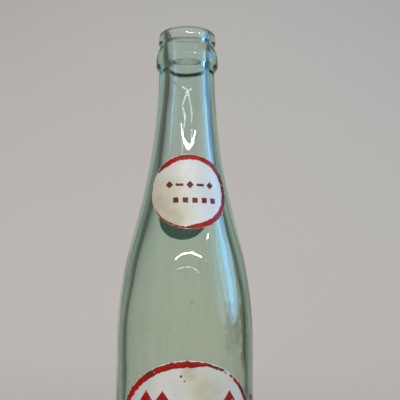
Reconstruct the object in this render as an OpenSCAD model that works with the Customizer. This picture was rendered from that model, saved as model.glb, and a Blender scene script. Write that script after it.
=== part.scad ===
// Returnable one-pint soda bottle: one blown glass body with fired enamel labels.
// +Z runs up the bottle's axis from the surface it stands on. The labels' front is -Y.

/* [Bottle] */
// Height from the surface it stands on to the top of the lip
total_h = 313.5; // [303.5:0.5:323.5]
// Outer diameter of the straight body
body_d = 61; // [60:0.2:64]
// Outer diameter of the neck under the finish
neck_d = 25.6; // [25:0.1:26.4]
// Radius of the long hollow curve from the neck to the shoulder's cone
flare_r = 287; // [275:3:299]
// Steepest slope of the shoulder, from the vertical
cone_angle = 14.3; // [14:0.1:15]
// Radius of the round curve from the shoulder's cone to the body
shoulder_r = 178; // [158:2:184]
// Radius of the heel, where the body turns under to the base
heel_r = 7; // [5:0.5:8]

/* [Glass] */
// Wall thickness of the body
body_wall = 3.9; // [3.3:0.1:4.3]
// Wall thickness of the neck below the bore
neck_wall = 4; // [3.7:0.1:4.3]
// Extra thickness of the glass at the middle of the shoulder
shoulder_swell = 1; // [0:0.1:1.4]
// Width of the flat ring that the bottle stands on
bearing_w = 4; // [3:0.5:5]
// Height of the pushed-up dome under the base
pushup_h = 5; // [3:0.5:6]
// Thickness of the glass at the middle of the base
base_t = 5.5; // [4.5:0.5:7]

/* [Crown finish] */
// Diameter of the straight bore at the mouth
bore_d = 18; // [17:0.1:18.4]
// Length of the straight bore, with its rounded mouth
bore_len = 13; // [11:0.5:15]
// Outer diameter of the lip, which a crown cap grips
lip_d = 26.6; // [26.3:0.1:26.9]
// Length of the lip's straight outer band
lip_band = 3.1; // [2.5:0.1:3.5]
// Outer diameter of the waist between lip and collar
waist_d = 25; // [24.6:0.1:25.4]
// Outer diameter of the collar under the waist
collar_d = 28.8; // [28.4:0.1:29.2]

/* [Enamel] */
// Thickness of one coat of fired enamel
coat = 0.15; // [0.1:0.05:0.3]
// Width of a neck label around the neck
neck_label_w = 38; // [34:0.5:40]
// Height of a neck label
neck_label_h = 34; // [30:0.5:36]
// Width of a neck label's ring
neck_ring_w = 2.2; // [1.6:0.1:3]
// Width of the body label around the body
body_label_w = 74; // [70:1:80]
// Height of the body label
body_label_h = 76; // [70:1:80]
// Width of the body label's ring
body_ring_w = 2.6; // [2:0.1:3.5]

/* [Hidden] */
$fn = 96;

neck_r = neck_d / 2;
body_r = body_d / 2;
bore_r = bore_d / 2;
lip_r = lip_d / 2;
waist_r = waist_d / 2;
collar_r = collar_d / 2;

// The outside is described by depth, measured down from the top of the lip.
flare_start = 15.3;
flare_end = flare_start + flare_r * sin(cone_angle);
flare_end_r = neck_r + flare_r * (1 - cos(cone_angle));
cone_end_r = body_r - shoulder_r * (1 - cos(cone_angle));
cone_end = flare_end + (cone_end_r - flare_end_r) / tan(cone_angle);
shoulder_end = cone_end + shoulder_r * sin(cone_angle);

// The finish: depths are measured from the top of the lip.
lip_round = 2.2;
mouth_round = 1.2;
lip_under_round = 1;
waist_start = 6.7;
waist_end = 7.2;
collar_start = 14.2;
collar_end = 16;
collar_over_round = 13.5;
collar_under_round = 1.9;
neck_start = 18.9;

// The labels' middles, as depths from the top of the lip, and their turn from -Y and +Y.
neck_label_depth = 77.4;
neck_label_turn = 6;
body_label_depth = 187.7;
body_label_turn = 4;
outline_step = 6;

// Length of the prism that trims a coat: it runs well past the glass
reach = 60;

glass_colour = [0.62, 0.72, 0.64, 0.5];
white_enamel = [0.86, 0.83, 0.78];
red_enamel = [0.75, 0.10, 0.06];

// Outer radius of the bottle below the finish, at a depth under the top of the lip
function outer_r(depth) =
    depth < flare_start ? neck_r :
    depth < flare_end ? neck_r + flare_r - sqrt(pow(flare_r, 2) - pow(depth - flare_start, 2)) :
    depth < cone_end ? flare_end_r + (depth - flare_end) * tan(cone_angle) :
    depth < shoulder_end ? body_r - shoulder_r + sqrt(pow(shoulder_r, 2) - pow(shoulder_end - depth, 2)) :
    body_r;

// Depth of the shoulder's thickest glass, and how far along the axis the swell reaches
swell_depth = 90;
swell_reach = 22;

// Wall thickness: from the neck's to the body's, with a swell in the shoulder
function wall(depth) =
    neck_wall + (body_wall - neck_wall) * max(0, min(1, (depth - bore_len) / (shoulder_end - bore_len)))
    + shoulder_swell * exp(-pow((depth - swell_depth) / swell_reach, 2));

// Depths at which the curves are cut into cones, from one depth to another
function depths(from, to, cuts) = [for (i = [1:cuts]) from + (to - from) * i / cuts];

// Points on a round stretch of an outline, from one angle to another
function arc(centre_r, centre_z, radius, from, to, cuts) =
    [for (i = [0:cuts]) let (a = from + (to - from) * i / cuts)
        [centre_r + radius * cos(a), centre_z + radius * sin(a)]];

// Outline of the heel, from the bearing ring up to the body
heel_points = arc(body_r - heel_r, heel_r, heel_r, -90, 0, 8);

// Outline from the body up to the collar
side_depths = concat(
    depths(shoulder_end, cone_end, 10),
    depths(cone_end, flare_end, 1),
    depths(flare_end, neck_start, 14)
);
side_points = [for (d = concat([shoulder_end], side_depths)) [outer_r(d), total_h - d]];

// Outline of the finish, from the collar up to the mouth
finish_points = concat(
    arc(collar_r - collar_under_round, total_h - collar_end, collar_under_round, -50, 0, 4),
    arc(collar_r - collar_over_round, total_h - collar_start, collar_over_round, 0, 30, 5),
    [[waist_r, total_h - waist_end], [waist_r, total_h - waist_start]],
    arc(lip_r - lip_under_round, total_h - lip_round - lip_band, lip_under_round, -60, 0, 3),
    arc(lip_r - lip_round, total_h - lip_round, lip_round, 0, 90, 6),
    arc(bore_r + mouth_round, total_h - mouth_round, mouth_round, 90, 180, 4)
);

// Half of the bottle's outside, closed along the axis; grow moves the sides outwards
module outside(grow) {
    outer = concat(heel_points, side_points, finish_points);
    polygon(concat(
        [[0, 0]],
        [for (p = outer) [p[0] + grow, p[1]]],
        [[0, total_h - mouth_round]]
    ));
}

// Outline of the hollow, from the middle of its floor up to the straight bore
floor_h = pushup_h + base_t;
floor_crown = 3;
floor_round = 9;
bore_taper = 9;
hollow_r = body_r - body_wall;
hollow_depths = concat(
    depths(shoulder_end, cone_end, 10),
    depths(cone_end, flare_end, 1),
    depths(flare_end, bore_len + bore_taper, 12)
);
hollow_points = concat(
    [[0, floor_h]],
    arc(hollow_r - floor_round, floor_h - floor_crown + floor_round, floor_round, -90, 0, 8),
    [for (d = concat([shoulder_end], hollow_depths)) [outer_r(d) - wall(d), total_h - d]],
    [[bore_r, total_h - bore_len], [0, total_h - bore_len]]
);

// The glass: outside less the hollow, the straight bore and the dome under the base
module glass_bottle() {
    bearing_r = body_r - heel_r - bearing_w;
    dome_r = (pow(bearing_r, 2) + pow(pushup_h, 2)) / (2 * pushup_h);
    color(glass_colour)
    difference() {
        rotate_extrude() outside(0);
        rotate_extrude() polygon(hollow_points);
        translate([0, 0, total_h - bore_len]) cylinder(r = bore_r, h = bore_len + 1);
        translate([0, 0, pushup_h - dome_r]) sphere(r = dome_r);
    }
}

// An enamel label's round outline, drawn on the X-Z plane, as it looks from the front when it is
// wrapped on the glass: width is measured around the glass, height along the axis
module label_outline(width, height, depth) {
    polygon([for (a = [0:outline_step:360 - outline_step])
        let (d = depth - height / 2 * sin(a), r = outer_r(d), turn = width / 2 * cos(a) / r)
        [r * sin(turn * 180 / PI), total_h - d]]);
}

// Where a distance around the body from a label's middle comes to, seen from its front
function wrapped(along) = body_r * sin(along / body_r * 180 / PI);

// One coat on the outside, from one height above the glass to another, trimmed by an outline
module coat_of_enamel(from, to, tilt) {
    rotate([0, 0, tilt])
    intersection() {
        rotate_extrude()
        difference() {
            outside(to);
            outside(from);
        }
        rotate([90, 0, 0]) linear_extrude(height = reach) children();
    }
}

// A label's white field is a whole disc on the glass. Its ring and its print lie on the field.
module label_field(width, height, depth, tilt) {
    color(white_enamel)
    coat_of_enamel(0, coat, tilt) label_outline(width, height, depth);
}

module label_ring(width, height, ring, depth, tilt) {
    color(red_enamel)
    coat_of_enamel(coat, 2 * coat, tilt)
    difference() {
        label_outline(width, height, depth);
        label_outline(width - 2 * ring, height - 2 * ring, depth);
    }
}

// Plain shapes that stand for print: a bar and a lozenge, centred
module bar(width, height) {
    square([width, height], center = true);
}

module lozenge(width, height) {
    polygon([[width / 2, 0], [0, height / 2], [-width / 2, 0], [0, -height / 2]]);
}

// Two rows on a neck label: lozenges with bars between them, over a row of squares
print_h = 3.4;
upper_pitch = 4.6;
lower_pitch = 4.2;
row_gap = 7;
print_drop = 0.5;

module neck_print(tilt) {
    color(red_enamel)
    coat_of_enamel(coat, 2 * coat, tilt)
    translate([0, total_h - neck_label_depth - print_drop]) {
        for (i = [-2:2])
            translate([i * upper_pitch, row_gap / 2])
            if (i % 2 == 0) lozenge(print_h, print_h);
            else bar(print_h, print_h / 3);
        for (i = [-2.5:2.5])
            translate([i * lower_pitch, -row_gap / 2]) bar(print_h * 0.7, print_h * 0.7);
    }
}

// Plain shapes on the body label: a row of discs between two bars, and lozenges above and below
disc_r = 4.2;
disc_pitch = 11.5;
bar_rise = 9.5;
bar_w = 54;
bar_h = 2.6;
lozenge_w = 6;
lozenge_h = 8;
lozenge_rise = 21.6;
lozenge_places = [-18.5, -11, 11, 18.5];

module body_label_marks() {
    color(red_enamel)
    coat_of_enamel(coat, 2 * coat, body_label_turn)
    translate([0, total_h - body_label_depth]) {
        for (i = [-2:2]) translate([wrapped(i * disc_pitch), 0]) circle(r = disc_r);
        for (side = [-1, 1]) {
            translate([0, side * bar_rise]) bar(2 * wrapped(bar_w / 2), bar_h);
            for (x = lozenge_places) translate([wrapped(x), side * lozenge_rise]) lozenge(lozenge_w, lozenge_h);
        }
    }
}

module front_neck_field() {
    label_field(neck_label_w, neck_label_h, neck_label_depth, neck_label_turn);
}

module front_neck_ring() {
    label_ring(neck_label_w, neck_label_h, neck_ring_w, neck_label_depth, neck_label_turn);
}

module front_neck_print() {
    neck_print(neck_label_turn);
}

module rear_neck_field() {
    label_field(neck_label_w, neck_label_h, neck_label_depth, neck_label_turn + 180);
}

module rear_neck_ring() {
    label_ring(neck_label_w, neck_label_h, neck_ring_w, neck_label_depth, neck_label_turn + 180);
}

module rear_neck_print() {
    neck_print(neck_label_turn + 180);
}

module body_label_field() {
    label_field(body_label_w, body_label_h, body_label_depth, body_label_turn);
}

module body_label_ring() {
    label_ring(body_label_w, body_label_h, body_ring_w, body_label_depth, body_label_turn);
}

glass_bottle();
front_neck_field();
front_neck_ring();
front_neck_print();
rear_neck_field();
rear_neck_ring();
rear_neck_print();
body_label_field();
body_label_ring();
body_label_marks();
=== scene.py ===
import math

import bpy
import numpy as np
from mathutils import Euler, Matrix, Vector, noise


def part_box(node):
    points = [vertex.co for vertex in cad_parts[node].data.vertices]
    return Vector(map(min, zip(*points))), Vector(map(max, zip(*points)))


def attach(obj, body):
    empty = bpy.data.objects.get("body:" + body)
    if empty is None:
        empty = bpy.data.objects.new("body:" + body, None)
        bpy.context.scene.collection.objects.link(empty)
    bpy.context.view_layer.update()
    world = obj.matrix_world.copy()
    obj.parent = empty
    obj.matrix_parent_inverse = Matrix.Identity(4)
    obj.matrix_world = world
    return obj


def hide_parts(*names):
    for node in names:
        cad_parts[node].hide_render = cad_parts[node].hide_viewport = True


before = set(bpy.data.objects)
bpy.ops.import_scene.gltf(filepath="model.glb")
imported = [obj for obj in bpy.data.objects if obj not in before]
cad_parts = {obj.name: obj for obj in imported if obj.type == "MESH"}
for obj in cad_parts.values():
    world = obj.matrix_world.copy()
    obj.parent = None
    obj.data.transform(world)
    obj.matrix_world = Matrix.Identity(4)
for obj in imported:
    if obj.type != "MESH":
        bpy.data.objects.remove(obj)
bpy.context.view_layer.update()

# The bottle is described in millimetres, as in the CAD. Depths are measured down from the lip's top.
MM = 0.001
GLASS_LOW, GLASS_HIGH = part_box("glass_bottle")
HEIGHT = GLASS_HIGH.z / MM
BODY_R = (GLASS_HIGH.x - GLASS_LOW.x) / 2 / MM

# Driving dimensions of the glass
NECK_R = 12.8
FLARE_START = 15.3
FLARE_R = 287
CONE_ANGLE = math.radians(14.3)
SHOULDER_R = 178
HEEL_R = 7
BODY_WALL = 3.9
NECK_WALL = 4.0
SWELL = 1.0
SWELL_DEPTH = 90
SWELL_REACH = 22
BEARING_W = 4
PUSHUP_H = 5
FLOOR_H = 10.5
FLOOR_CROWN = 3
FLOOR_ROUND = 9
BORE_R = 9
BORE_LEN = 13
BORE_TAPER = 9
LIP_R = 13.3
WAIST_R = 12.5
COLLAR_R = 14.4

# Labels: middle's depth, turn from the front, width around the glass, height and ring width
NECK_LABEL = {"depth": 77.4, "turn": 6, "width": 38, "height": 34, "ring": 2.2}
REAR_NECK_LABEL = {**NECK_LABEL, "turn": 186}
BODY_LABEL = {"depth": 187.7, "turn": 4, "width": 74, "height": 76, "ring": 2.6}

# Enamel coats, as heights above the glass: the underside is sunk a little, so that no air is between
FIELD_COAT = (-0.04, 0.08)
RED_COAT = (0.05, 0.14)


# ---------------------------------------------------------------- the bottle's form

FLARE_END = FLARE_START + FLARE_R * math.sin(CONE_ANGLE)
FLARE_END_R = NECK_R + FLARE_R * (1 - math.cos(CONE_ANGLE))
CONE_END_R = BODY_R - SHOULDER_R * (1 - math.cos(CONE_ANGLE))
CONE_END = FLARE_END + (CONE_END_R - FLARE_END_R) / math.tan(CONE_ANGLE)
SHOULDER_END = CONE_END + SHOULDER_R * math.sin(CONE_ANGLE)


def outer_radius(depth):
    """Outer radius below the finish: neck, hollow flare, cone, round shoulder and straight body."""
    if depth < FLARE_START:
        return NECK_R
    if depth < FLARE_END:
        return NECK_R + FLARE_R - math.sqrt(FLARE_R**2 - (depth - FLARE_START) ** 2)
    if depth < CONE_END:
        return FLARE_END_R + (depth - FLARE_END) * math.tan(CONE_ANGLE)
    if depth < SHOULDER_END:
        return BODY_R - SHOULDER_R + math.sqrt(SHOULDER_R**2 - (SHOULDER_END - depth) ** 2)
    return BODY_R


def wall(depth):
    """Wall thickness: from the neck's to the body's, drawn in below the finish, with a swelled shoulder."""
    share = min(1, max(0, (depth - BORE_LEN) / (SHOULDER_END - BORE_LEN)))
    drawn_in = 0.35 * math.exp(-(((depth - 24) / 9) ** 2))
    swell = SWELL * math.exp(-(((depth - SWELL_DEPTH) / SWELL_REACH) ** 2))
    return NECK_WALL + (BODY_WALL - NECK_WALL) * share + drawn_in + swell


def ripple(angle, z):
    """The mould's faint unevenness on the outside, in millimetres."""
    around = Vector((math.cos(angle), math.sin(angle), z / 26))
    return 0.035 * noise.noise(around * 1.7) - 0.035


def settle(angle, z):
    """The blown inside's slow unevenness, in millimetres."""
    around = Vector((1.3 * math.cos(angle), 1.3 * math.sin(angle), z / 38))
    fine = Vector((2.6 * math.cos(angle), 2.6 * math.sin(angle), z / 12 + 7))
    return 0.34 * noise.noise(around) + 0.07 * noise.noise(fine)


def arc(centre_r, centre_z, radius, start, end, cuts):
    """Points on a round stretch of an outline, between two angles in degrees."""
    angles = [math.radians(start + (end - start) * i / cuts) for i in range(cuts + 1)]
    return [(centre_r + radius * math.cos(a), centre_z + radius * math.sin(a)) for a in angles]


def steps(start, end, size):
    """Evenly spaced values from start to end, both included, about size apart."""
    count = max(1, round(abs(end - start) / size))
    return [start + (end - start) * i / count for i in range(count + 1)]


def outside_outline():
    """The outside, from the middle of the base's dome, round the heel and up to the bore's start."""
    bearing_r = BODY_R - HEEL_R - BEARING_W
    dome_r = (bearing_r**2 + PUSHUP_H**2) / (2 * PUSHUP_H)
    dome_edge = math.degrees(math.asin(bearing_r / dome_r))
    points = arc(0, PUSHUP_H - dome_r, dome_r, 90, 90 - dome_edge, 20)
    points += arc(BODY_R - HEEL_R, HEEL_R, HEEL_R, -90, 0, 14)
    points += [(outer_radius(d), HEIGHT - d) for d in steps(HEIGHT - HEEL_R, SHOULDER_END, 2)[1:]]
    points += [(outer_radius(d), HEIGHT - d) for d in steps(SHOULDER_END, 18.9, 1)[1:]]
    points += arc(COLLAR_R - 1.9, HEIGHT - 16, 1.9, -50, 0, 8)
    points += arc(COLLAR_R - 13.5, HEIGHT - 14.2, 13.5, 0, 30, 16)
    points += [(WAIST_R, HEIGHT - 7.2), (WAIST_R, HEIGHT - 6.7)]
    points += arc(LIP_R - 1, HEIGHT - 5.3, 1, -60, 0, 5)
    points += arc(LIP_R - 20, HEIGHT - 5.3, 20, 0, 10, 6)[1:]
    points += arc(LIP_R - 2.47, HEIGHT - 2.2, 2.2, 10, 90, 10)[1:]
    points += arc(BORE_R + 1.2, HEIGHT - 1.2, 1.2, 90, 180, 8)
    return points


def inside_outline():
    """The inside, from the straight bore down to the middle of the hollow's floor."""
    taper_end = BORE_LEN + BORE_TAPER
    points = [(BORE_R, HEIGHT - d) for d in steps(1.2, BORE_LEN, 1)[1:]]
    points += [(outer_radius(d) - wall(d), HEIGHT - d) for d in steps(taper_end, SHOULDER_END, 1.4)]
    corner_r = BODY_R - BODY_WALL - FLOOR_ROUND
    corner_z = FLOOR_H - FLOOR_CROWN + FLOOR_ROUND
    points += [(BODY_R - BODY_WALL, HEIGHT - d) for d in steps(SHOULDER_END, HEIGHT - corner_z, 2)[1:]]
    points += arc(corner_r, corner_z, FLOOR_ROUND, 0, -90, 14)[1:]
    points += [(r, FLOOR_H - FLOOR_CROWN * (r / corner_r) ** 2) for r in steps(corner_r, 0, 1.5)[1:]]
    return points


def melted(points, spread, step):
    """An outline with its corners rounded, as fire polishing leaves them, and its points even."""
    line = np.array(points, float)
    lengths = np.r_[0, np.cumsum(np.linalg.norm(np.diff(line, axis=0), axis=1))]
    fine = np.arange(0, lengths[-1], step)
    dense = np.stack([np.interp(fine, lengths, line[:, k]) for k in (0, 1)], axis=1)
    reach = int(4 * spread / step)
    weights = np.exp(-0.5 * (np.arange(-reach, reach + 1) * step / spread) ** 2)
    weights /= weights.sum()
    mirror = np.array([-1, 1])
    before = dense[1 : reach + 1][::-1] * mirror
    after = dense[-reach - 1 : -1][::-1] * mirror
    padded = np.concatenate([before, dense, after])
    smooth = np.stack([np.convolve(padded[:, k], weights, "valid") for k in (0, 1)], axis=1)
    smooth[0, 0] = smooth[-1, 0] = 0
    return smooth


def thinned(line, bend, longest):
    """Fewer points where an outline is nearly straight: a new one after a bend or a longest step."""
    kept = [0]
    for i in range(1, len(line) - 1):
        chord = line[i] - line[kept[-1]]
        ahead = line[i + 1] - line[i]
        length = np.linalg.norm(chord)
        turn = abs(chord[0] * ahead[1] - chord[1] * ahead[0]) / (length * np.linalg.norm(ahead) + 1e-9)
        if length >= longest or (turn > bend and length > 0.25):
            kept.append(i)
    kept.append(len(line) - 1)
    return line[kept]


SEAM_TURNS = (math.radians(BODY_LABEL["turn"]), math.radians(BODY_LABEL["turn"] + 180))
SEAM_HEIGHT = 0.09
SEAM_WIDTH = 0.4

# The bearing ring's stippling, cut upwards into the ring that the bottle stands on
KNURLS = 60
KNURL_DEPTH = 0.16
KNURL_REACH = 0.7 * BEARING_W


def seam_ridge(angle, radius, z):
    """The mould's two vertical parting lines, a fine ridge from the heel to the collar."""
    if z < 1 or z > HEIGHT - 16:
        return 0
    off = min(abs(math.remainder(angle - turn, math.tau)) for turn in SEAM_TURNS) * radius
    return SEAM_HEIGHT * math.exp(-((off / SEAM_WIDTH) ** 2))


def column_angles():
    """Angles of the lathe's columns: even ones, with closer ones across each seam."""
    even = [math.tau * i / 180 for i in range(180)]
    near = [turn + math.radians(k) for turn in SEAM_TURNS for k in (-1.2, -0.7, -0.35, 0, 0.35, 0.7, 1.2)]
    far_enough = [a for a in even if min(abs(math.remainder(a - n, math.tau)) for n in near) > 0.012]
    return sorted(a % math.tau for a in far_enough + near)


def glass_point(radius, z, angle, is_inside):
    """A point of the glass, with the mould's and the blowing's unevenness."""
    if is_inside:
        blend = min(1, max(0, (HEIGHT - BORE_LEN - z) / 14)) * min(1, radius / 12)
        radius += settle(angle, z) * blend
        z += 0.5 * settle(angle, z) * blend * (z < FLOOR_H + 2)
    elif z > HEEL_R and z < HEIGHT - 18:
        radius += ripple(angle, z) + seam_ridge(angle, radius, z)
    on_bearing = max(0, 1 - ((radius - BODY_R + HEEL_R + BEARING_W / 2) / KNURL_REACH) ** 2)
    if not is_inside and z < 1.5 and on_bearing:
        z += KNURL_DEPTH * on_bearing * (0.5 + 0.5 * math.cos(KNURLS * angle))
    return Vector((radius * math.cos(angle), radius * math.sin(angle), z)) * MM


def new_object(name, verts, faces, material, smooth=True):
    mesh = bpy.data.meshes.new(name)
    mesh.from_pydata(verts, [], faces)
    mesh.validate()
    mesh.polygons.foreach_set("use_smooth", [smooth] * len(mesh.polygons))
    mesh.materials.append(material)
    mesh.update()
    made = bpy.data.objects.new(name, mesh)
    bpy.context.scene.collection.objects.link(made)
    return made


def make_glass(material):
    """One closed wall of glass, turned from its outline: outside, over the lip and down the inside."""
    outside = outside_outline()
    inside = inside_outline()
    outline = melted(outside + inside, 0.32, 0.1)
    outline = thinned(outline, 0.05, 2.0)
    lip_index = int(np.argmax(outline[:, 1]))
    angles = column_angles()
    count = len(angles)
    verts = [Vector((0, 0, outline[0][1] * MM))]
    for row, (radius, z) in enumerate(outline[1:-1], start=1):
        is_inside = row > lip_index
        verts += [glass_point(radius, z, a, is_inside) for a in angles]
    verts.append(Vector((0, 0, outline[-1][1] * MM)))
    last = len(verts) - 1
    rows = len(outline) - 2
    faces = [(0, 1 + (i + 1) % count, 1 + i) for i in range(count)]
    for row in range(rows - 1):
        low, high = 1 + row * count, 1 + (row + 1) * count
        for i in range(count):
            k = (i + 1) % count
            faces.append((low + i, low + k, high + k, high + i))
    top = 1 + (rows - 1) * count
    faces += [(top + i, top + (i + 1) % count, last) for i in range(count)]
    return new_object("bottle_glass", verts, faces, material)


# ---------------------------------------------------------------- enamel shapes, on a label's own plane

# A shape is a function of (u, v), millimetres around and up from the label's middle. It is above 0
# inside, and about the distance to its edge.


def oval(width, height):
    def shape(u, v):
        reach = math.hypot(2 * u / width, 2 * v / height)
        return (1 - reach) * min(width, height) / 2

    return shape


def bar(width, height, at_u=0, at_v=0):
    return lambda u, v: min(width / 2 - abs(u - at_u), height / 2 - abs(v - at_v))


def lozenge(width, height, at_u=0, at_v=0):
    slope = math.hypot(1 / width, 1 / height)
    return lambda u, v: (0.5 - abs(u - at_u) / width - abs(v - at_v) / height) / slope


def disc(radius, at_u=0, at_v=0):
    return lambda u, v: radius - math.hypot(u - at_u, v - at_v)


def any_of(shapes):
    return lambda u, v: max(shape(u, v) for shape in shapes)


def rough(shape, size, depth, seed):
    """A shape with an uneven, chipped edge."""

    def worn(u, v):
        coarse = noise.noise(Vector((u / size, v / size, seed)))
        fine = noise.noise(Vector((3.1 * u / size, 3.1 * v / size, seed + 9)))
        return shape(u, v) + depth * (coarse + 0.5 * fine)

    return worn


def without(shape, losses, size, seed):
    """A shape less its worn-away places, each (u, v, radius), with ragged edges."""

    def worn(u, v):
        ragged = noise.noise(Vector((u / size, v / size, seed)))
        ragged += 0.6 * noise.noise(Vector((2.7 * u / size, 2.7 * v / size, seed + 4)))
        left = min(math.hypot(u - a, v - b) - r for a, b, r in losses)
        return min(shape(u, v), left + 1.6 * ragged)

    return worn


def flaked(shape, share, size, seed):
    """A shape with small flakes lost all over it."""

    def worn(u, v):
        flake = noise.noise(Vector((u / size, v / size, seed)))
        return min(shape(u, v), (share - flake) * size)

    return worn


def ring_of(label, inset, kept):
    """A label's ring. kept gives the share of its width that is left, at angles round it in degrees."""
    outline = oval(label["width"], label["height"])
    angles, shares = zip(*kept)

    def shape(u, v):
        edge = outline(u, v)
        angle = math.degrees(math.atan2(v, u)) % 360
        return min(edge - inset, label["ring"] * np.interp(angle, angles, shares) + inset - edge)

    return shape


def contour_faces(values, us, vs):
    """The part of a grid where values are above 0, as faces cut along the line where they are 0."""
    points, index = [], {}

    def corner(i, j):
        if (i, j) not in index:
            index[i, j] = len(points)
            points.append((us[i], vs[j]))
        return index[i, j]

    def crossing(a, b):
        key = (min(a, b), max(a, b))
        if key not in index:
            (i, j), (k, m) = key
            share = values[i, j] / (values[i, j] - values[k, m])
            share = min(0.97, max(0.03, share))
            index[key] = len(points)
            points.append((us[i] + (us[k] - us[i]) * share, vs[j] + (vs[m] - vs[j]) * share))
        return index[key]

    faces = []
    for i in range(len(us) - 1):
        for j in range(len(vs) - 1):
            ring = [(i, j), (i + 1, j), (i + 1, j + 1), (i, j + 1)]
            inside = [values[c] > 0 for c in ring]
            if not any(inside):
                continue
            face = []
            for k in range(4):
                if inside[k]:
                    face.append(corner(*ring[k]))
                if inside[k] != inside[(k + 1) % 4]:
                    face.append(crossing(ring[k], ring[(k + 1) % 4]))
            split = sum(inside) == 2 and inside[0] == inside[2]
            faces += split_faces(face, inside) if split else [face]
    return points, faces


def split_faces(face, inside):
    """Two corners across a cell give two separate triangles, so that no edge is shared by four faces."""
    if inside[0]:
        return [[face[0], face[1], face[5]], [face[2], face[3], face[4]]]
    return [[face[0], face[1], face[2]], [face[3], face[4], face[5]]]


def on_glass(label, u, v, height):
    """A point above the glass at a label's (u, v), height millimetres off the surface."""
    depth = label["depth"] - v
    radius = outer_radius(depth)
    angle = math.radians(label["turn"] - 90) + u / radius
    z = HEIGHT - depth
    radius += ripple(angle, z) + height
    return Vector((radius * math.cos(angle), radius * math.sin(angle), z)) * MM


def make_coat(name, label, shape, coat, step, material):
    """A thin closed coat of enamel in a shape, wrapped on the glass."""
    half_w, half_h = label["width"] / 2 + 1, label["height"] / 2 + 1
    us = np.array(steps(-half_w, half_w, step))
    vs = np.array(steps(-half_h, half_h, step))
    values = np.array([[shape(u, v) for v in vs] for u in us])
    values[[0, -1], :] = values[:, [0, -1]] = -1
    values[values == 0] = -1e-6
    points, faces = contour_faces(values, us, vs)
    count = len(points)
    low, high = coat
    verts = [on_glass(label, u, v, high) for u, v in points]
    verts += [on_glass(label, u, v, low) for u, v in points]
    edges = {}
    for face in faces:
        for a, b in zip(face, face[1:] + face[:1]):
            edges[a, b] = (b, a) not in edges
            if not edges[a, b]:
                edges[b, a] = False
    shell = list(faces)
    shell += [[count + i for i in reversed(face)] for face in faces]
    shell += [[b, a, count + a, count + b] for (a, b), open_edge in edges.items() if open_edge]
    made = new_object(name, verts, shell, material)
    flat = np.array([(u, v) for u, v in points] * 2)
    layer = made.data.uv_layers.new(name="label")
    corners = np.zeros(len(made.data.loops), int)
    made.data.loops.foreach_get("vertex_index", corners)
    layer.data.foreach_set("uv", (flat[corners] * 0.01).astype(np.float32).ravel())
    return made


# ---------------------------------------------------------------- node helpers


class Nodes:
    """Builds a material's node tree."""

    def __init__(self, name):
        self.material = bpy.data.materials.new(name)
        self.material.use_nodes = True
        self.tree = self.material.node_tree
        self.surface = self.tree.nodes["Principled BSDF"]
        self.output = self.tree.nodes["Material Output"]

    def add(self, kind, links=(), **settings):
        node = self.tree.nodes.new(kind)
        for key, value in settings.items():
            if hasattr(node, key):
                setattr(node, key, value)
            else:
                node.inputs[key.replace("_", " ")].default_value = value
        for socket, source in dict(links).items():
            self.tree.links.new(source, node.inputs[socket])
        return node

    def place(self):
        return self.add("ShaderNodeTexCoord").outputs["Object"]

    def noise(self, scale, detail=3.0, rough=0.5, at=None):
        node = self.add("ShaderNodeTexNoise", {"Vector": at or self.place()}, Scale=scale, Detail=detail)
        node.inputs["Roughness"].default_value = rough
        return node.outputs["Fac"]

    def ramp(self, value, low, high, start=0.0, end=1.0):
        node = self.add("ShaderNodeMapRange", {"Value": value}, clamp=True)
        node.interpolation_type = "SMOOTHSTEP"
        for key, number in zip(("From Min", "From Max", "To Min", "To Max"), (low, high, start, end)):
            node.inputs[key].default_value = number
        return node.outputs["Result"]

    def math(self, operation, a, b):
        node = self.add("ShaderNodeMath", operation=operation)
        for socket, value in zip(node.inputs, (a, b)):
            if isinstance(value, (int, float)):
                socket.default_value = value
            else:
                self.tree.links.new(value, socket)
        return node.outputs[0]

    def mix(self, share, a, b):
        node = self.add("ShaderNodeMix", data_type="RGBA")
        for socket, value in zip((node.inputs[0], node.inputs[6], node.inputs[7]), (share, a, b)):
            if isinstance(value, tuple):
                socket.default_value = (*value, 1)
            elif isinstance(value, (int, float)):
                socket.default_value = value
            else:
                self.tree.links.new(value, socket)
        return node.outputs[2]

    def bump(self, height, strength, distance):
        node = self.add("ShaderNodeBump", {"Height": height}, Strength=strength, Distance=distance)
        self.tree.links.new(node.outputs["Normal"], self.surface.inputs["Normal"])

    def set(self, socket, value):
        if isinstance(value, bpy.types.NodeSocket):
            self.tree.links.new(value, self.surface.inputs[socket])
        else:
            self.surface.inputs[socket].default_value = (*value, 1) if isinstance(value, tuple) else value


# ---------------------------------------------------------------- materials

RED = (0.50, 0.012, 0.005)
DEEP_RED = (0.27, 0.010, 0.006)
PRINT_RED = (0.22, 0.03, 0.03)
DEEP_PRINT_RED = (0.14, 0.02, 0.02)
BURNT_RED = (0.13, 0.035, 0.02)

# Stains on the glass, and two bands of painted shade down the body's edges: turn from the front, first and
# last depth, reach, colour and strength
GLASS_STAINS_AND_SHADE = [
    (56.5, 125, 156, 3.0, (0.40, 0.21, 0.11), 0.85),
    (40, 124, 150, 3.4, (0.56, 0.56, 0.50), 0.6),
    (48, 130, 146, 2.6, (0.42, 0.40, 0.33), 0.7),
    # Painted shade: a long grey darkening down the body's right edge.
    (72, 112, 190, 5.0, (0.42, 0.42, 0.33), 0.85),
    (-15, 95.5, 100, 0.9, (0.10, 0.10, 0.07), 0.9),
    (-13.5, 99, 103, 0.7, (0.16, 0.15, 0.11), 0.8),
    # Painted shade: a long greenish darkening down the body's left edge.
    (-63, 112, 190, 4.0, (0.50, 0.58, 0.47), 0.7),
]


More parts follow.
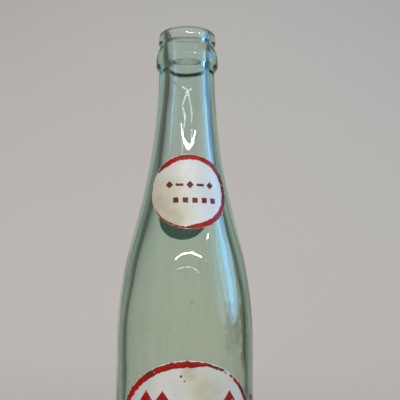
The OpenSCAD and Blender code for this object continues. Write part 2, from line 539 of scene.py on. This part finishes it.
def glass_material():
    """Pale green glass: absorbing through its thickness, clear, with faint scuffs and dried streaks, and
    painted shade darkening both edges of the body.
    """
    n = Nodes("green_glass")
    film = n.ramp(n.noise(38, 5, 0.6), 0.52, 0.78)
    scuffs = n.ramp(n.noise(900, 2, 0.6), 0.62, 0.76)
    height = n.add("ShaderNodeSeparateXYZ", {"Vector": n.place()}).outputs["Z"]
    low = n.ramp(height, (HEIGHT - 120) * MM, (HEIGHT - 60) * MM, 1.0, 0.0)
    clean = n.mix(low, (0.97, 0.97, 0.96), (0.97, 0.965, 0.90))
    colour = n.mix(film, clean, (0.91, 0.91, 0.83))
    drawn_out = n.add("ShaderNodeVectorMath", {"Vector": n.place()}, operation="MULTIPLY")
    drawn_out.inputs[1].default_value = (1, 1, 0.1)
    streaks = n.ramp(n.noise(170, 4, 0.6, drawn_out.outputs["Vector"]), 0.48, 0.7)
    colour = n.mix(n.math("MULTIPLY", streaks, n.math("MULTIPLY", low, 0.6)), colour, (0.87, 0.89, 0.84))
    specks = n.math("MULTIPLY", n.ramp(n.noise(520, 2, 0.5), 0.71, 0.76), low)
    colour = n.mix(n.math("MULTIPLY", specks, 0.5), colour, (0.30, 0.29, 0.22))
    # Each entry darkens the glass's colour in a streak: the short ones are real stains, the two long edge
    # bands are painted shade.
    for turn, first, last, reach, shade, share in GLASS_STAINS_AND_SHADE:
        stain_and_shade = stain_and_shade_mask(n, turn, first, last, reach, height)
        colour = n.mix(n.math("MULTIPLY", stain_and_shade, share), colour, shade)
    n.set("Base Color", colour)
    n.set("Roughness", n.math("ADD", n.math("MULTIPLY", film, 0.03), n.math("MULTIPLY", scuffs, 0.02)))
    n.set("Transmission Weight", 1.0)
    n.set("IOR", 1.5)
    n.bump(n.noise(70, 3, 0.5), 0.08, 0.0004)
    volume = n.add("ShaderNodeVolumeAbsorption", Density=50.0)
    volume.inputs["Color"].default_value = (0.26, 0.80, 0.56, 1)
    n.tree.links.new(volume.outputs[0], n.output.inputs["Volume"])
    return n.material


def stain_and_shade_mask(n, turn, first, last, reach, height):
    """A broken streak down the glass, at a turn from the front and between two depths."""
    a, radius = math.radians(turn - 90), outer_radius((first + last) / 2) * MM
    flat = n.add("ShaderNodeVectorMath", {"Vector": n.place()}, operation="MULTIPLY")
    flat.inputs[1].default_value = (1, 1, 0)
    away = n.add("ShaderNodeVectorMath", {"Vector": flat.outputs["Vector"]}, operation="DISTANCE")
    away.inputs[1].default_value = (radius * math.cos(a), radius * math.sin(a), 0)
    ragged = n.math("MULTIPLY", n.math("SUBTRACT", n.noise(420, 4, 0.6), 0.5), 2.2 * reach * MM)
    side = n.ramp(n.math("ADD", away.outputs["Value"], ragged), 0.35 * reach * MM, reach * MM, 1.0, 0.0)
    under = n.ramp(height, (HEIGHT - first - 3) * MM, (HEIGHT - first) * MM, 1.0, 0.0)
    over = n.ramp(height, (HEIGHT - last) * MM, (HEIGHT - last + 6) * MM)
    return n.math("MULTIPLY", side, n.math("MULTIPLY", under, over))


def spots(n, places):
    """A mask that is 1 inside soft round places on a label, each (u, v, radius) in millimetres."""
    at = n.add("ShaderNodeUVMap", uv_map="label").outputs[0]
    mask = None
    for u, v, radius in places:
        node = n.add("ShaderNodeVectorMath", {"Vector": at}, operation="DISTANCE")
        node.inputs[1].default_value = (u * 0.01, v * 0.01, 0)
        spot = n.ramp(node.outputs["Value"], radius * 0.004, radius * 0.012, 1.0, 0.0)
        mask = spot if mask is None else n.math("MAXIMUM", mask, spot)
    return mask


def white_enamel(name, aged, dirty, rusty):
    """Off-white fired enamel: yellowed and grimy in places, with fine specks and small rust spots."""
    n = Nodes(name)
    cloud = n.ramp(n.noise(120, 5, 0.6), 0.35, 0.7)
    grime = n.math("MULTIPLY", spots(n, dirty), n.ramp(n.noise(260, 4, 0.6), 0.3, 0.62, 0.55, 1.0))
    specks = n.ramp(n.noise(1500, 2, 0.5), 0.66, 0.72)
    base = n.mix(cloud, (0.82, 0.82, 0.78), (0.74, 0.75, 0.70))
    yellowed = n.math("MULTIPLY", spots(n, aged), n.ramp(n.noise(90, 4, 0.55), 0.25, 0.6, 0.6, 1.0))
    base = n.mix(n.math("MULTIPLY", yellowed, 0.9), base, (0.72, 0.68, 0.50))
    base = n.mix(n.math("MULTIPLY", grime, 0.5), base, (0.50, 0.44, 0.30))
    base = n.mix(n.math("MULTIPLY", specks, 0.35), base, (0.22, 0.18, 0.12))
    if rusty:
        edge = n.math("ADD", spots(n, rusty), n.math("MULTIPLY", n.noise(700, 3, 0.6), 0.5))
        base = n.mix(n.ramp(edge, 0.75, 0.95), base, (0.16, 0.07, 0.03))
    n.set("Base Color", base)
    n.set("Roughness", n.math("ADD", 0.3, n.math("MULTIPLY", grime, 0.35)))
    n.bump(n.noise(1400, 4, 0.6), 0.25, 0.00008)
    return n.material


def red_enamel(name, bright, dark, burnt):
    """Red fired enamel, darker in patches and browned in places, with a fine uneven gloss."""
    n = Nodes(name)
    patches = n.ramp(n.noise(160, 4, 0.6), 0.4, 0.66)
    base = n.mix(patches, bright, dark)
    specks = n.ramp(n.noise(1900, 2, 0.5), 0.62, 0.7)
    if burnt:
        base = n.mix(n.math("MULTIPLY", spots(n, burnt), 0.75), base, BURNT_RED)
    n.set("Base Color", n.mix(n.math("MULTIPLY", specks, 0.5), base, (0.10, 0.02, 0.015)))
    n.set("Roughness", n.ramp(n.noise(500, 3, 0.5), 0.3, 0.7, 0.32, 0.5))
    n.set("Specular IOR Level", 0.25)
    n.bump(n.noise(1600, 3, 0.6), 0.2, 0.00006)
    return n.material


# ---------------------------------------------------------------- the labels


def neck_print():
    """Two rows: lozenges with bars between them, over a row of squares."""
    size = 3.4
    upper_pitch, lower_pitch = 4.6, 4.2
    rise, drop = 3.5, 0.5
    square = 0.7 * size
    marks = [lozenge(size, size, 2 * i * upper_pitch, rise - drop) for i in (-1, 0, 1)]
    marks += [bar(size, size / 3, i * upper_pitch, rise - drop) for i in (-1, 1)]
    marks += [bar(square, square, (i - 2.5) * lower_pitch, -rise - drop) for i in range(6)]
    return any_of(marks)


def body_marks():
    """A row of discs between two bars, with lozenges above and below."""
    marks = [disc(4.2, i * 11.5, 0) for i in range(-2, 3)]
    for side in (-1, 1):
        marks.append(bar(54, 2.6, 0, side * 9.5))
        marks += [lozenge(6, 8, u, side * 21.6) for u in (-18.5, -11, 11, 18.5)]
    return any_of(marks)


def make_neck_label(side, label, materials, kept, ring_losses, print_losses):
    """One neck label: white field, red ring and red print, each its own coat."""
    field_material, ring_material, print_material = materials
    seed = len(side) * 3.7
    field = rough(oval(label["width"], label["height"]), 1.6, 0.12, seed)
    ring = rough(ring_of(label, 0.2, kept), 1.1, 0.3, seed + 1)
    print_shape = rough(neck_print(), 0.9, 0.12, seed + 2)
    if ring_losses:
        ring = without(ring, ring_losses, 1.5, seed + 3)
    if print_losses:
        print_shape = without(print_shape, print_losses, 1.2, seed + 4)
    ring = flaked(ring, 0.62, 0.9, seed + 5)
    coats = [
        ("field", field, FIELD_COAT, 0.4, field_material, "white_enamel"),
        ("ring", ring, RED_COAT, 0.22, ring_material, "red_enamel"),
        ("print", print_shape, RED_COAT, 0.18, print_material, "red_enamel"),
    ]
    make_coats(side + "_neck", label, coats)


def make_body_label(field_material, ring_material, mark_material, kept):
    """The body label: white field, red ring and plain red marks."""
    label = BODY_LABEL
    field = rough(oval(label["width"], label["height"]), 2.2, 0.16, 21)
    ring = rough(ring_of(label, 0.3, kept), 1.6, 0.45, 22)
    ring = without(ring, [(17.7, 33.4, 1.7), (20.6, 31, 0.5)], 1.6, 23)
    ring = flaked(ring, 0.6, 1.2, 24)
    marks = rough(body_marks(), 1.2, 0.16, 25)
    marks = without(marks, [(10, 23, 5), (4, 12, 3.5), (-21, -4, 2.5)], 2.0, 26)
    marks = flaked(marks, 0.6, 1.3, 27)
    coats = [
        ("field", field, FIELD_COAT, 0.6, field_material, "white_enamel"),
        ("ring", ring, RED_COAT, 0.35, ring_material, "red_enamel"),
        ("marks", marks, RED_COAT, 0.35, mark_material, "red_enamel"),
    ]
    make_coats("body_label", label, coats)


def make_coats(place, label, coats):
    """A label's coats, each standing for its own CAD node, which is named after the label and the coat."""
    for kind, shape, coat, step, material, slot in coats:
        node = f"{place}_{kind}"
        settle_piece(make_coat(node + "_coat", label, shape, coat, step, material), node, slot)


def settle_piece(piece, node, slot):
    """Rides on the one body and stands for its CAD node, whose part it hides."""
    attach(piece, "root")
    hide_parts(node)


# ---------------------------------------------------------------- the stage

WALL_COLOUR = (0.470, 0.440, 0.424)
COOL_WALL = (0.452, 0.458, 0.440)
SIDE_GAIN = 0.24
FRONT_GAIN = 0.42

# The bowl, in metres: where its flat floor ends, the cove's radius and the ceiling's radius
FLOOR_END = 2.3
COVE_R = 0.9
CEILING_R = 1.6

# The dark card of painted shade, in metres: its inner and outer radius, each with its height over the floor
CARD_EDGES = ((0.86, 0.006), (1.16, 0.012))
CARD_START = 58
CARD_SWEEP = 64
CARD_CUTS = 24


def stage_material():
    """A pale studio bowl: a matt floor that turns into a lit wall, brightest behind the bottle."""
    n = Nodes("studio_bowl")
    place = n.place()
    parts = n.add("ShaderNodeSeparateXYZ", {"Vector": place})
    radius = n.add("ShaderNodeVectorMath", {"Vector": place}, operation="LENGTH").outputs["Value"]
    bearing = n.math("DIVIDE", parts.outputs["Y"], radius)
    behind = n.ramp(bearing, 0.6, 0.955, SIDE_GAIN, 1.0)
    ahead = n.ramp(bearing, -0.7, 0.0, FRONT_GAIN - SIDE_GAIN, 0.0)
    away = n.add("ShaderNodeVectorMath", {"Vector": place}, operation="DISTANCE")
    away.inputs[1].default_value = (-0.25, 3.1, 0.0)
    pool = n.ramp(away.outputs["Value"], 0.0, 1.9, 1.09, 0.985)
    glow = n.math("MULTIPLY", n.math("ADD", behind, ahead), pool)
    cool = n.ramp(n.math("ADD", parts.outputs["X"], parts.outputs["Z"]), 0.5, 2.0)
    lit = n.add("ShaderNodeEmission", {"Color": n.mix(cool, WALL_COLOUR, COOL_WALL), "Strength": glow})
    n.set("Base Color", (0.66, 0.63, 0.61))
    n.set("Roughness", 0.85)
    share = n.ramp(radius, 0.35, 1.15)
    blend = n.add("ShaderNodeMixShader", {0: share, 1: n.surface.outputs[0], 2: lit.outputs[0]})
    n.tree.links.new(blend.outputs[0], n.output.inputs["Surface"])
    return n.material


def make_stage():
    """A round floor that curves up into a wall and a ceiling, all round the bottle."""
    profile = [(r, 0.0) for r in steps(0.0, FLOOR_END, FLOOR_END / 10)[1:]]
    profile += arc(FLOOR_END, COVE_R, COVE_R, -90, 0, 12)[1:]
    profile += arc(CEILING_R, COVE_R, CEILING_R, 0, 88, 14)[1:]
    count = 72
    verts = [Vector((0, 0, 0))]
    for radius, z in profile:
        turns = [math.tau * i / count for i in range(count)]
        verts += [Vector((radius * math.cos(a), radius * math.sin(a), z)) for a in turns]
    faces = [(0, 1 + i, 1 + (i + 1) % count) for i in range(count)]
    for row in range(len(profile) - 1):
        low, high = 1 + row * count, 1 + (row + 1) * count
        faces += [(low + i, high + i, high + (i + 1) % count, low + (i + 1) % count) for i in range(count)]
    bowl = new_object("studio_bowl", verts, faces, stage_material())
    make_shade_card()


def make_shade_card():
    """A dark card low behind the bottle, hidden from the camera and seen only in and through the glass:
    painted shade that stands in for the room's dark parts and gives the lip its dark lines.
    """
    n = Nodes("dark_card")
    n.set("Base Color", (0.012, 0.014, 0.013))
    n.set("Roughness", 0.9)
    turns = [math.radians(CARD_START + CARD_SWEEP * i / CARD_CUTS) for i in range(CARD_CUTS + 1)]
    verts = [Vector((r * math.cos(a), r * math.sin(a), z)) for r, z in CARD_EDGES for a in turns]
    outer = len(turns)
    faces = [(i, i + 1, outer + i + 1, outer + i) for i in range(CARD_CUTS)]
    card = new_object("dark_card", verts, faces, n.material)
    card.visible_camera = False
    card.visible_diffuse = False
    card.visible_shadow = False


def make_light(name, azimuth, elevation, distance, size, radiance, colour, shape="RECTANGLE", seen=True):
    """A soft flat light that faces the bottle's shoulder, seen or not in and through the glass."""
    light = bpy.data.lights.new(name, "AREA")
    light.shape = shape
    light.size, light.size_y = size
    light.energy = radiance * math.pi * size[0] * size[1]
    light.color = colour
    target = Vector((0, 0, (HEIGHT - 105) * MM))
    a, e = math.radians(azimuth), math.radians(elevation)
    back = Vector((math.sin(a) * math.cos(e), -math.cos(a) * math.cos(e), math.sin(e)))
    made = bpy.data.objects.new(name, light)
    made.location = target + back * distance
    made.rotation_euler = back.to_track_quat("Z", "Y").to_euler()
    made.visible_camera = False
    made.visible_glossy = made.visible_transmission = seen
    bpy.context.scene.collection.objects.link(made)


def make_lights():
    make_light("tube_light", 7, 28.6, 2.9, (2.5, 0.031), 90, (1, 1, 0.97))
    make_light("tube_light_end", 51, 30.3, 1.3, (0.08, 0.013), 60, (1, 1, 0.97))
    make_light("window", 93, 20, 1.3, (0.54, 0.84), 4.6, (0.17, 0.50, 1.0), "ELLIPSE")
    make_light("window_blind", 69, 20, 1.3, (0.56, 0.84), 1.0, (0.45, 0.7, 1.0), "ELLIPSE")
    make_light("overhead", -25, 62, 1.2, (1.0, 1.0), 1.4, (1, 0.98, 0.95), seen=False)
    make_light("front_fill", -12, 22, 1.5, (1.2, 0.9), 1.1, (1, 0.985, 0.96), seen=False)


CAMERA_DISTANCE = 390
CAMERA_DEPTH = 130
CAMERA_SIDE = 6.4
CAMERA_PITCH = 6.83
CAMERA_ROLL = 0.29
CAMERA_LENS = 77.2
CAMERA_SHIFT = 0.025


def make_camera():
    """The photograph's viewpoint: close, a little below the neck label, looking slightly up."""
    data = bpy.data.cameras.new("camera")
    data.sensor_width = 36
    data.lens = CAMERA_LENS
    data.shift_y = CAMERA_SHIFT
    camera = bpy.data.objects.new("camera", data)
    camera.location = Vector((CAMERA_SIDE, -CAMERA_DISTANCE, HEIGHT - CAMERA_DEPTH)) * MM
    pitch = Euler((math.radians(90 + CAMERA_PITCH), 0, 0)).to_matrix().to_4x4()
    roll = Matrix.Rotation(math.radians(CAMERA_ROLL), 4, "Z")
    camera.rotation_euler = (pitch @ roll).to_euler()
    bpy.context.scene.collection.objects.link(camera)
    bpy.context.scene.camera = camera


# ---------------------------------------------------------------- the whole

bpy.context.scene.view_settings.view_transform = "Standard"
make_camera()
make_stage()
make_lights()

bottle = make_glass(glass_material())
settle_piece(bottle, "glass_bottle", "green_glass")

NECK_BURNS = [(16.5, 6, 5), (18, -1, 4), (-13, 11, 3)]
BODY_BURNS = [(-33, 16, 7), (-17, 34, 4), (12, 36, 7), (27, 25, 6), (33, 14, 6)]
neck_ring = red_enamel("red_neck_ring", RED, DEEP_RED, NECK_BURNS)
body_ring = red_enamel("red_body_ring", RED, DEEP_RED, BODY_BURNS)
print_red = red_enamel("red_print", PRINT_RED, DEEP_PRINT_RED, [])
body_red = red_enamel("red_marks", RED, DEEP_RED, [])

make_neck_label(
    "front",
    NECK_LABEL,
    (
        white_enamel(
            "white_front_neck",
            [(-12, -2, 10), (-6, -10, 9)],
            [(-14, -6, 7), (-8, -12, 6)],
            [(-17.4, 9.3, 0.7), (-18.6, -7, 0.6)],
        ),
        neck_ring,
        print_red,
    ),
    [(0, 1), (130, 1), (146, 0.5), (152, 0), (205, 0), (212, 0.28), (262, 0.35), (278, 1), (360, 1)],
    [],
    [(-11.5, -4, 2.8)],
)
make_neck_label(
    "rear",
    REAR_NECK_LABEL,
    (white_enamel("white_rear_neck", [(8, 4, 9)], [(6, 8, 6)], []), neck_ring, print_red),
    [(0, 1), (300, 1), (320, 0.5), (340, 1), (360, 1)],
    [(14, 12, 1.8), (-3, -17, 1.4)],
    [],
)
make_body_label(
    white_enamel(
        "white_body",
        [(6, 28, 9), (14, 24, 14), (24, 16, 14), (20, 0, 16), (8, -10, 14)],
        [(9, 24, 8), (17, 14, 6), (0, 33, 4), (-12, -22, 7)],
        [(-3.2, 31.5, 0.7), (-1.8, 29.6, 0.5), (3.6, 18.4, 1.6)],
    ),
    body_ring,
    body_red,
    [(0, 0.9), (40, 0.8), (58, 0.4), (78, 0.5), (88, 1), (360, 0.9)],
)
